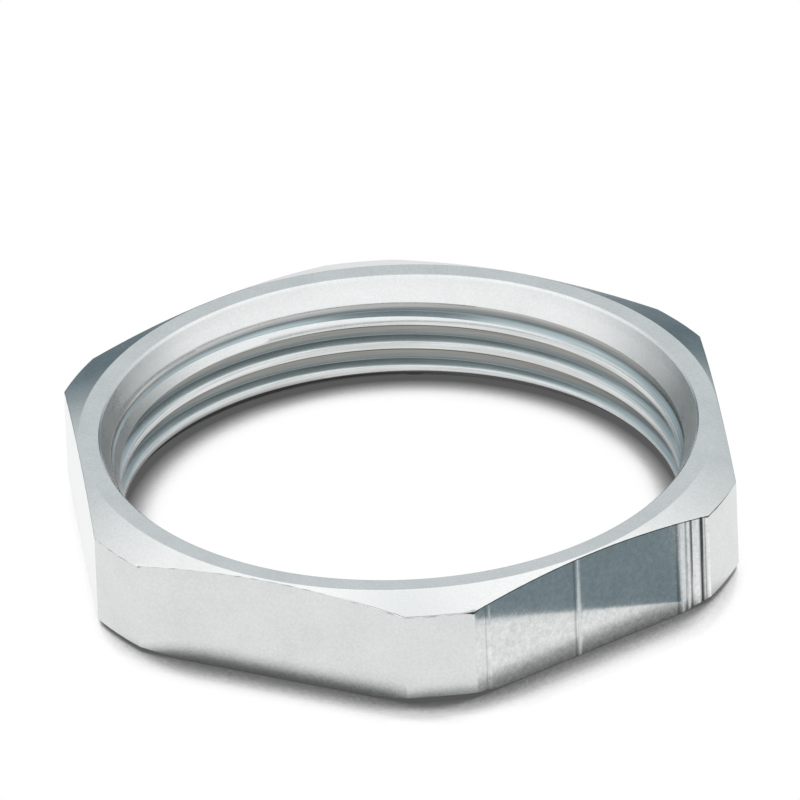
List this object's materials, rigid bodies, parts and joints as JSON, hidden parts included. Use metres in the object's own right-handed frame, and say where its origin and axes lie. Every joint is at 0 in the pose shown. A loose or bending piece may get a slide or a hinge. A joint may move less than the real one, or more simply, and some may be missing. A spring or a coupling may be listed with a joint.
{
  "type": "cable gland locknut",
  "caption": "Thin hexagonal ring nut with a threaded bore and rounded corners, chamfered above and flat below, that clamps a cable gland to a panel.",
  "frame": {"origin": "centre of the flat clamping face, on the thread's axis", "axes": "+Z along the thread's axis, from the flat clamping face to the chamfered face; +X through a corner of the hexagon; +Y square to a flat"},
  "size_m": [0.0384, 0.035, 0.0061],
  "materials": {
    "nickel_plate": "bright nickel plating on turned brass"
  },
  "bodies": {
    "root": {"locknut": "nickel_plate"}
  },
  "joints": []
}
